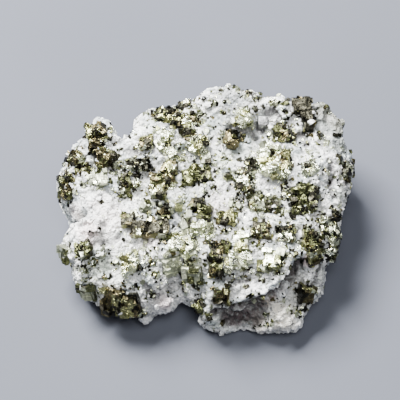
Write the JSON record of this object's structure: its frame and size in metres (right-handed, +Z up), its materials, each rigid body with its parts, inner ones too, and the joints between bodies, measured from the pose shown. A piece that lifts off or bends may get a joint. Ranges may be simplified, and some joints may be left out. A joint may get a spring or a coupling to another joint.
{
  "type": "fluorite with pyrite",
  "caption": "Rough slab of white granular fluorite with brassy pyrite crystals set in its top and sides, lying on a flat underside.",
  "frame": {"origin": "under the middle of the lump, on the surface it rests on", "axes": "+X along the lump's long side, +Y from its front, where the lower shelf is, to its high back, +Z up"},
  "size_m": [0.0808, 0.066, 0.0272],
  "materials": {
    "fluorite": "white sugary fluorite with faint pink, green and grey tints, matt with a waxy gloss",
    "bright_pyrite": "fresh pale brass-yellow pyrite, mirror-bright faces with fine growth lines",
    "tarnished_pyrite": "tarnished pyrite, olive to dark bronze-brown, satin with bright edges"
  },
  "bodies": {
    "root": {"fluorite_lump": "fluorite", "pyrite_left_crest": "tarnished_pyrite", "pyrite_left_shoulder": "tarnished_pyrite", "pyrite_left_edge": "tarnished_pyrite", "pyrite_black_bar": "tarnished_pyrite", "pyrite_pale_pair": "bright_pyrite", "pyrite_notch": "bright_pyrite", "pyrite_back_group": "bright_pyrite", "pyrite_back_bar": "tarnished_pyrite", "pyrite_mirror": "bright_pyrite", "pyrite_saddle": "bright_pyrite", "pyrite_cream_blade": "bright_pyrite", "pyrite_grey_cube": "bright_pyrite", "pyrite_brown_knob": "bright_pyrite", "pyrite_middle_left": "tarnished_pyrite", "pyrite_ring": "bright_pyrite", "pyrite_ball": "bright_pyrite", "pyrite_sparkling_group": "bright_pyrite", "pyrite_bright_mass": "bright_pyrite", "pyrite_brown_group": "tarnished_pyrite", "pyrite_bronze_crystal": "tarnished_pyrite", "pyrite_silver_ball": "bright_pyrite", "pyrite_right_edge": "tarnished_pyrite", "pyrite_olive_wedge": "tarnished_pyrite", "pyrite_grey_knob": "tarnished_pyrite", "pyrite_striped_group": "tarnished_pyrite", "pyrite_black_cube": "tarnished_pyrite", "pyrite_grey_pebble": "tarnished_pyrite", "pyrite_grey_corner": "tarnished_pyrite", "pyrite_olive_group": "tarnished_pyrite", "pyrite_lens": "bright_pyrite", "pyrite_white_ledge": "bright_pyrite", "pyrite_gold_seam": "bright_pyrite", "pyrite_cream_field": "bright_pyrite", "pyrite_pale_cube": "bright_pyrite", "pyrite_green_corner": "tarnished_pyrite", "pyrite_brown_cube": "tarnished_pyrite", "pyrite_ledged_cube": "bright_pyrite", "pyrite_sparkling_pair": "bright_pyrite", "pyrite_dull_field": "tarnished_pyrite", "pyrite_green_mass": "tarnished_pyrite", "pyrite_right_group": "tarnished_pyrite", "pyrite_brown_block": "tarnished_pyrite", "pyrite_green_plate": "tarnished_pyrite", "pyrite_front_facet": "bright_pyrite", "pyrite_front_cube": "tarnished_pyrite", "pyrite_smooth_cube": "tarnished_pyrite", "pyrite_front_dome": "tarnished_pyrite", "pyrite_striped_bar": "bright_pyrite", "pyrite_striped_cube": "tarnished_pyrite", "pyrite_front_seam": "tarnished_pyrite", "pyrite_yellow_crystal": "bright_pyrite", "pyrite_shelf_cube": "tarnished_pyrite", "pyrite_back_wall_right": "bright_pyrite", "pyrite_back_wall_middle": "bright_pyrite", "pyrite_back_wall_left": "tarnished_pyrite", "pyrite_back_foot": "bright_pyrite", "pyrite_right_side": "tarnished_pyrite", "pyrite_left_side": "tarnished_pyrite"}
  },
  "joints": []
}
